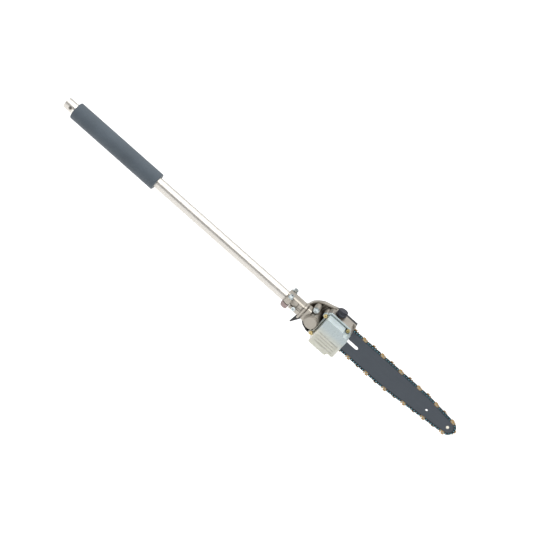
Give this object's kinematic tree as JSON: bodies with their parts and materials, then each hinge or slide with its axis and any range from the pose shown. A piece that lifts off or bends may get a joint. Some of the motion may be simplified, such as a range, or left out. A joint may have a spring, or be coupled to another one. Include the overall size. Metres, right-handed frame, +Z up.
{
  "type": "pole saw attachment",
  "caption": "Pole saw attachment: aluminium tube with foam grip, bevel gear head, clear oil tank with screw cap, guide bar and cutting chain.",
  "frame": {"origin": "centre of the free end face of the tube's end ferrule", "axes": "+X along the tube toward the bar nose, +Z up in use with the oil cap on top, +Y toward the side that carries the bar, chain and sprocket cover"},
  "size_m": [1.0649, 0.093, 0.1118],
  "materials": {
    "tube": "satin drawn",
    "band": "bright",
    "foam": "matt closed-cell foam",
    "bush": "matt",
    "casting": "cast, satin",
    "clamp": "cast, matt",
    "zinc": "zinc plated",
    "yellow_zinc": "yellow zinc plated",
    "shaft_steel": "ground steel",
    "gear_steel": "hardened steel",
    "bearing": "polished",
    "spring_steel": "phosphated",
    "seal": "matt",
    "bowl": "clear milky plastic",
    "cap": "fine grain",
    "hose": "smooth",
    "filter": "sintered",
    "cover": "moulded",
    "bar": "dark satin",
    "bar_core": "dark",
    "nose_rivet": "bright",
    "chain_dark": "dark oiled",
    "cutter": "bronze-tinted chrome",
    "chain_rivet": "bright"
  },
  "bodies": {
    "pole_and_head": {"pole_tube": "tube", "end_ferrule": "tube", "insertion_band": "band", "foam_grip": "foam", "shaft_bushes": "bush", "gearcase": "casting", "clamp_cap": "clamp", "clamp_bolts": "zinc", "clamp_washers": "zinc", "locating_screw": "zinc", "pinion_bearings": "bearing", "pinion_spacer": "shaft_steel", "pinion_clip": "spring_steel", "output_bearings": "bearing", "shaft_seal": "seal", "bearing_cap": "casting", "case_bolt": "zinc", "oil_bowl": "bowl", "bowl_gasket": "seal", "bowl_screws": "yellow_zinc", "oil_hose": "hose", "oil_filter": "filter", "bar_stud": "zinc", "bar_nut": "zinc", "inner_plate": "bearing", "sprocket_cover": "cover"},
    "drive_line": {"drive_shaft": "shaft_steel", "bevel_pinion": "gear_steel"},
    "output": {"bevel_gear": "gear_steel", "output_shaft": "shaft_steel", "shaft_sleeve": "shaft_steel", "drive_sprocket": "gear_steel", "sprocket_washer": "shaft_steel", "sprocket_clip": "spring_steel"},
    "bar": {"bar_plates": "bar", "bar_core": "bar_core", "nose_rivet": "nose_rivet", "chain_drive_links": "chain_dark", "chain_straps": "chain_dark", "chain_cutters": "cutter", "chain_rivets": "chain_rivet", "tension_block": "shaft_steel"},
    "nose_wheel": {"nose_sprocket": "gear_steel"},
    "tensioner": {"tension_screw": "zinc"},
    "cap_lift": {"cap_seal": "seal"},
    "cap": {"oil_cap": "cap"}
  },
  "joints": [
    {"name": "output_spin", "type": "hinge", "parent": "pole_and_head", "child": "output", "pos_m": [0.6795, 0, 0], "axis": [0, 1, 0], "continuous": true},
    {"name": "drive_spin", "type": "hinge", "parent": "pole_and_head", "child": "drive_line", "pos_m": [0.3, 0, 0], "axis": [1, 0, 0], "continuous": true},
    {"name": "nose_spin", "type": "hinge", "parent": "bar", "child": "nose_wheel", "pos_m": [1.0446, 0.039, 0.0035], "axis": [0, 1, 0], "continuous": true},
    {"name": "bar_slide", "type": "slide", "parent": "pole_and_head", "child": "bar", "axis": [1, 0, 0], "range_m": [-0.002, 0]},
    {"name": "tension_screw_turn", "type": "hinge", "parent": "pole_and_head", "child": "tensioner", "pos_m": [0.733, 0.03, -0.014], "axis": [1, 0, 0], "range_deg": [0, 901]},
    {"name": "oil_cap_lift", "type": "slide", "parent": "pole_and_head", "child": "cap_lift", "axis": [-0.1564, 0, 0.9877], "range_m": [0, 0.008]},
    {"name": "oil_cap_turn", "type": "hinge", "parent": "cap_lift", "child": "cap", "pos_m": [0.718, 0.013, 0.04], "axis": [-0.1564, 0, 0.9877], "range_deg": [0, 961]}
  ],
  "couplings": [
    {"joint": "drive_spin", "follows": "output_spin", "ratio": -1.3636},
    {"joint": "nose_spin", "follows": "output_spin", "ratio": 1.1429},
    {"joint": "tension_screw_turn", "follows": "bar_slide", "rad_per_m": -7854},
    {"joint": "oil_cap_turn", "follows": "oil_cap_lift", "rad_per_m": 2094.4}
  ]
}
